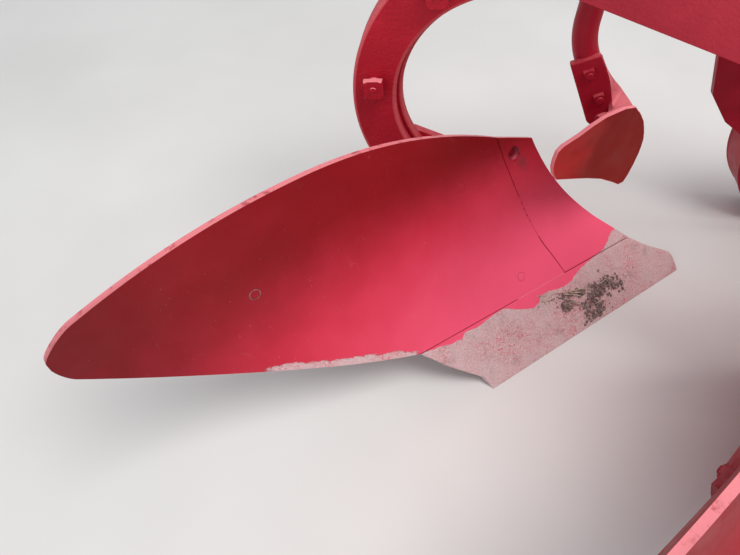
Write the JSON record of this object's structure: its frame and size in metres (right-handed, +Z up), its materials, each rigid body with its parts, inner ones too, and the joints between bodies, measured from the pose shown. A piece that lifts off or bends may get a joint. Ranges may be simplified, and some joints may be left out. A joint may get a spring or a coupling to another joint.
{
  "type": "moldboard plough",
  "caption": "Mounted mouldboard plough with a diagonal beam, curved legs, shares, skimmers, a hitch mast and a depth wheel on a swinging arm.",
  "frame": {"origin": "middle of the whole part's box in plan, on the ground that shares, landsides and depth wheel stand on", "axes": "+X is the direction of travel, +Y points to the unploughed land side, +Z is up"},
  "size_m": [1.7218, 1.213, 1.13],
  "materials": {
    "frame_red": "satin",
    "board_red": "gloss",
    "worn_steel": "matt",
    "wheel_rim_steel": "satin"
  },
  "bodies": {
    "frame": {"main_beam": "frame_red", "land_beam": "frame_red", "front_tube": "frame_red", "mid_tube": "frame_red", "hitch_plate_left": "frame_red", "hitch_plate_right": "frame_red", "mast_left": "frame_red", "mast_right": "frame_red", "mast_brace_left": "frame_red", "mast_brace_right": "frame_red", "mast_stay": "frame_red", "rear_leg_bracket": "frame_red", "front_leg_bracket": "frame_red", "rear_leg_outer": "frame_red", "front_leg_outer": "frame_red", "rear_leg_inner": "frame_red", "front_leg_inner": "frame_red", "rear_frog": "frame_red", "front_frog": "frame_red", "rear_landside": "frame_red", "front_landside": "frame_red", "rear_share": "worn_steel", "front_share": "worn_steel", "rear_shin": "board_red", "front_shin": "board_red", "rear_mouldboard": "board_red", "front_mouldboard": "board_red", "rear_stay": "frame_red", "front_stay": "frame_red", "rear_skim_clamp": "frame_red", "front_skim_clamp": "frame_red", "rear_skim_shank": "frame_red", "front_skim_shank": "frame_red", "rear_skim_bracket": "frame_red", "front_skim_bracket": "frame_red", "rear_skim_board": "board_red", "front_skim_board": "board_red", "wheel_bracket": "frame_red"},
    "wheel_arm_body": {"wheel_arm": "frame_red"},
    "wheel_body": {"wheel_hub": "frame_red", "wheel_disc": "frame_red", "wheel_rim": "wheel_rim_steel"}
  },
  "joints": [
    {"name": "wheel_arm_swing", "type": "hinge", "parent": "frame", "child": "wheel_arm_body", "pos_m": [0.0589, 0.30243, 0.49], "axis": [0, -1, 0], "range_deg": [0, 30]},
    {"name": "wheel_spin", "type": "hinge", "parent": "wheel_arm_body", "child": "wheel_body", "pos_m": [0.3689, 0.37743, 0.2], "axis": [0, 1, 0], "continuous": true}
  ]
}
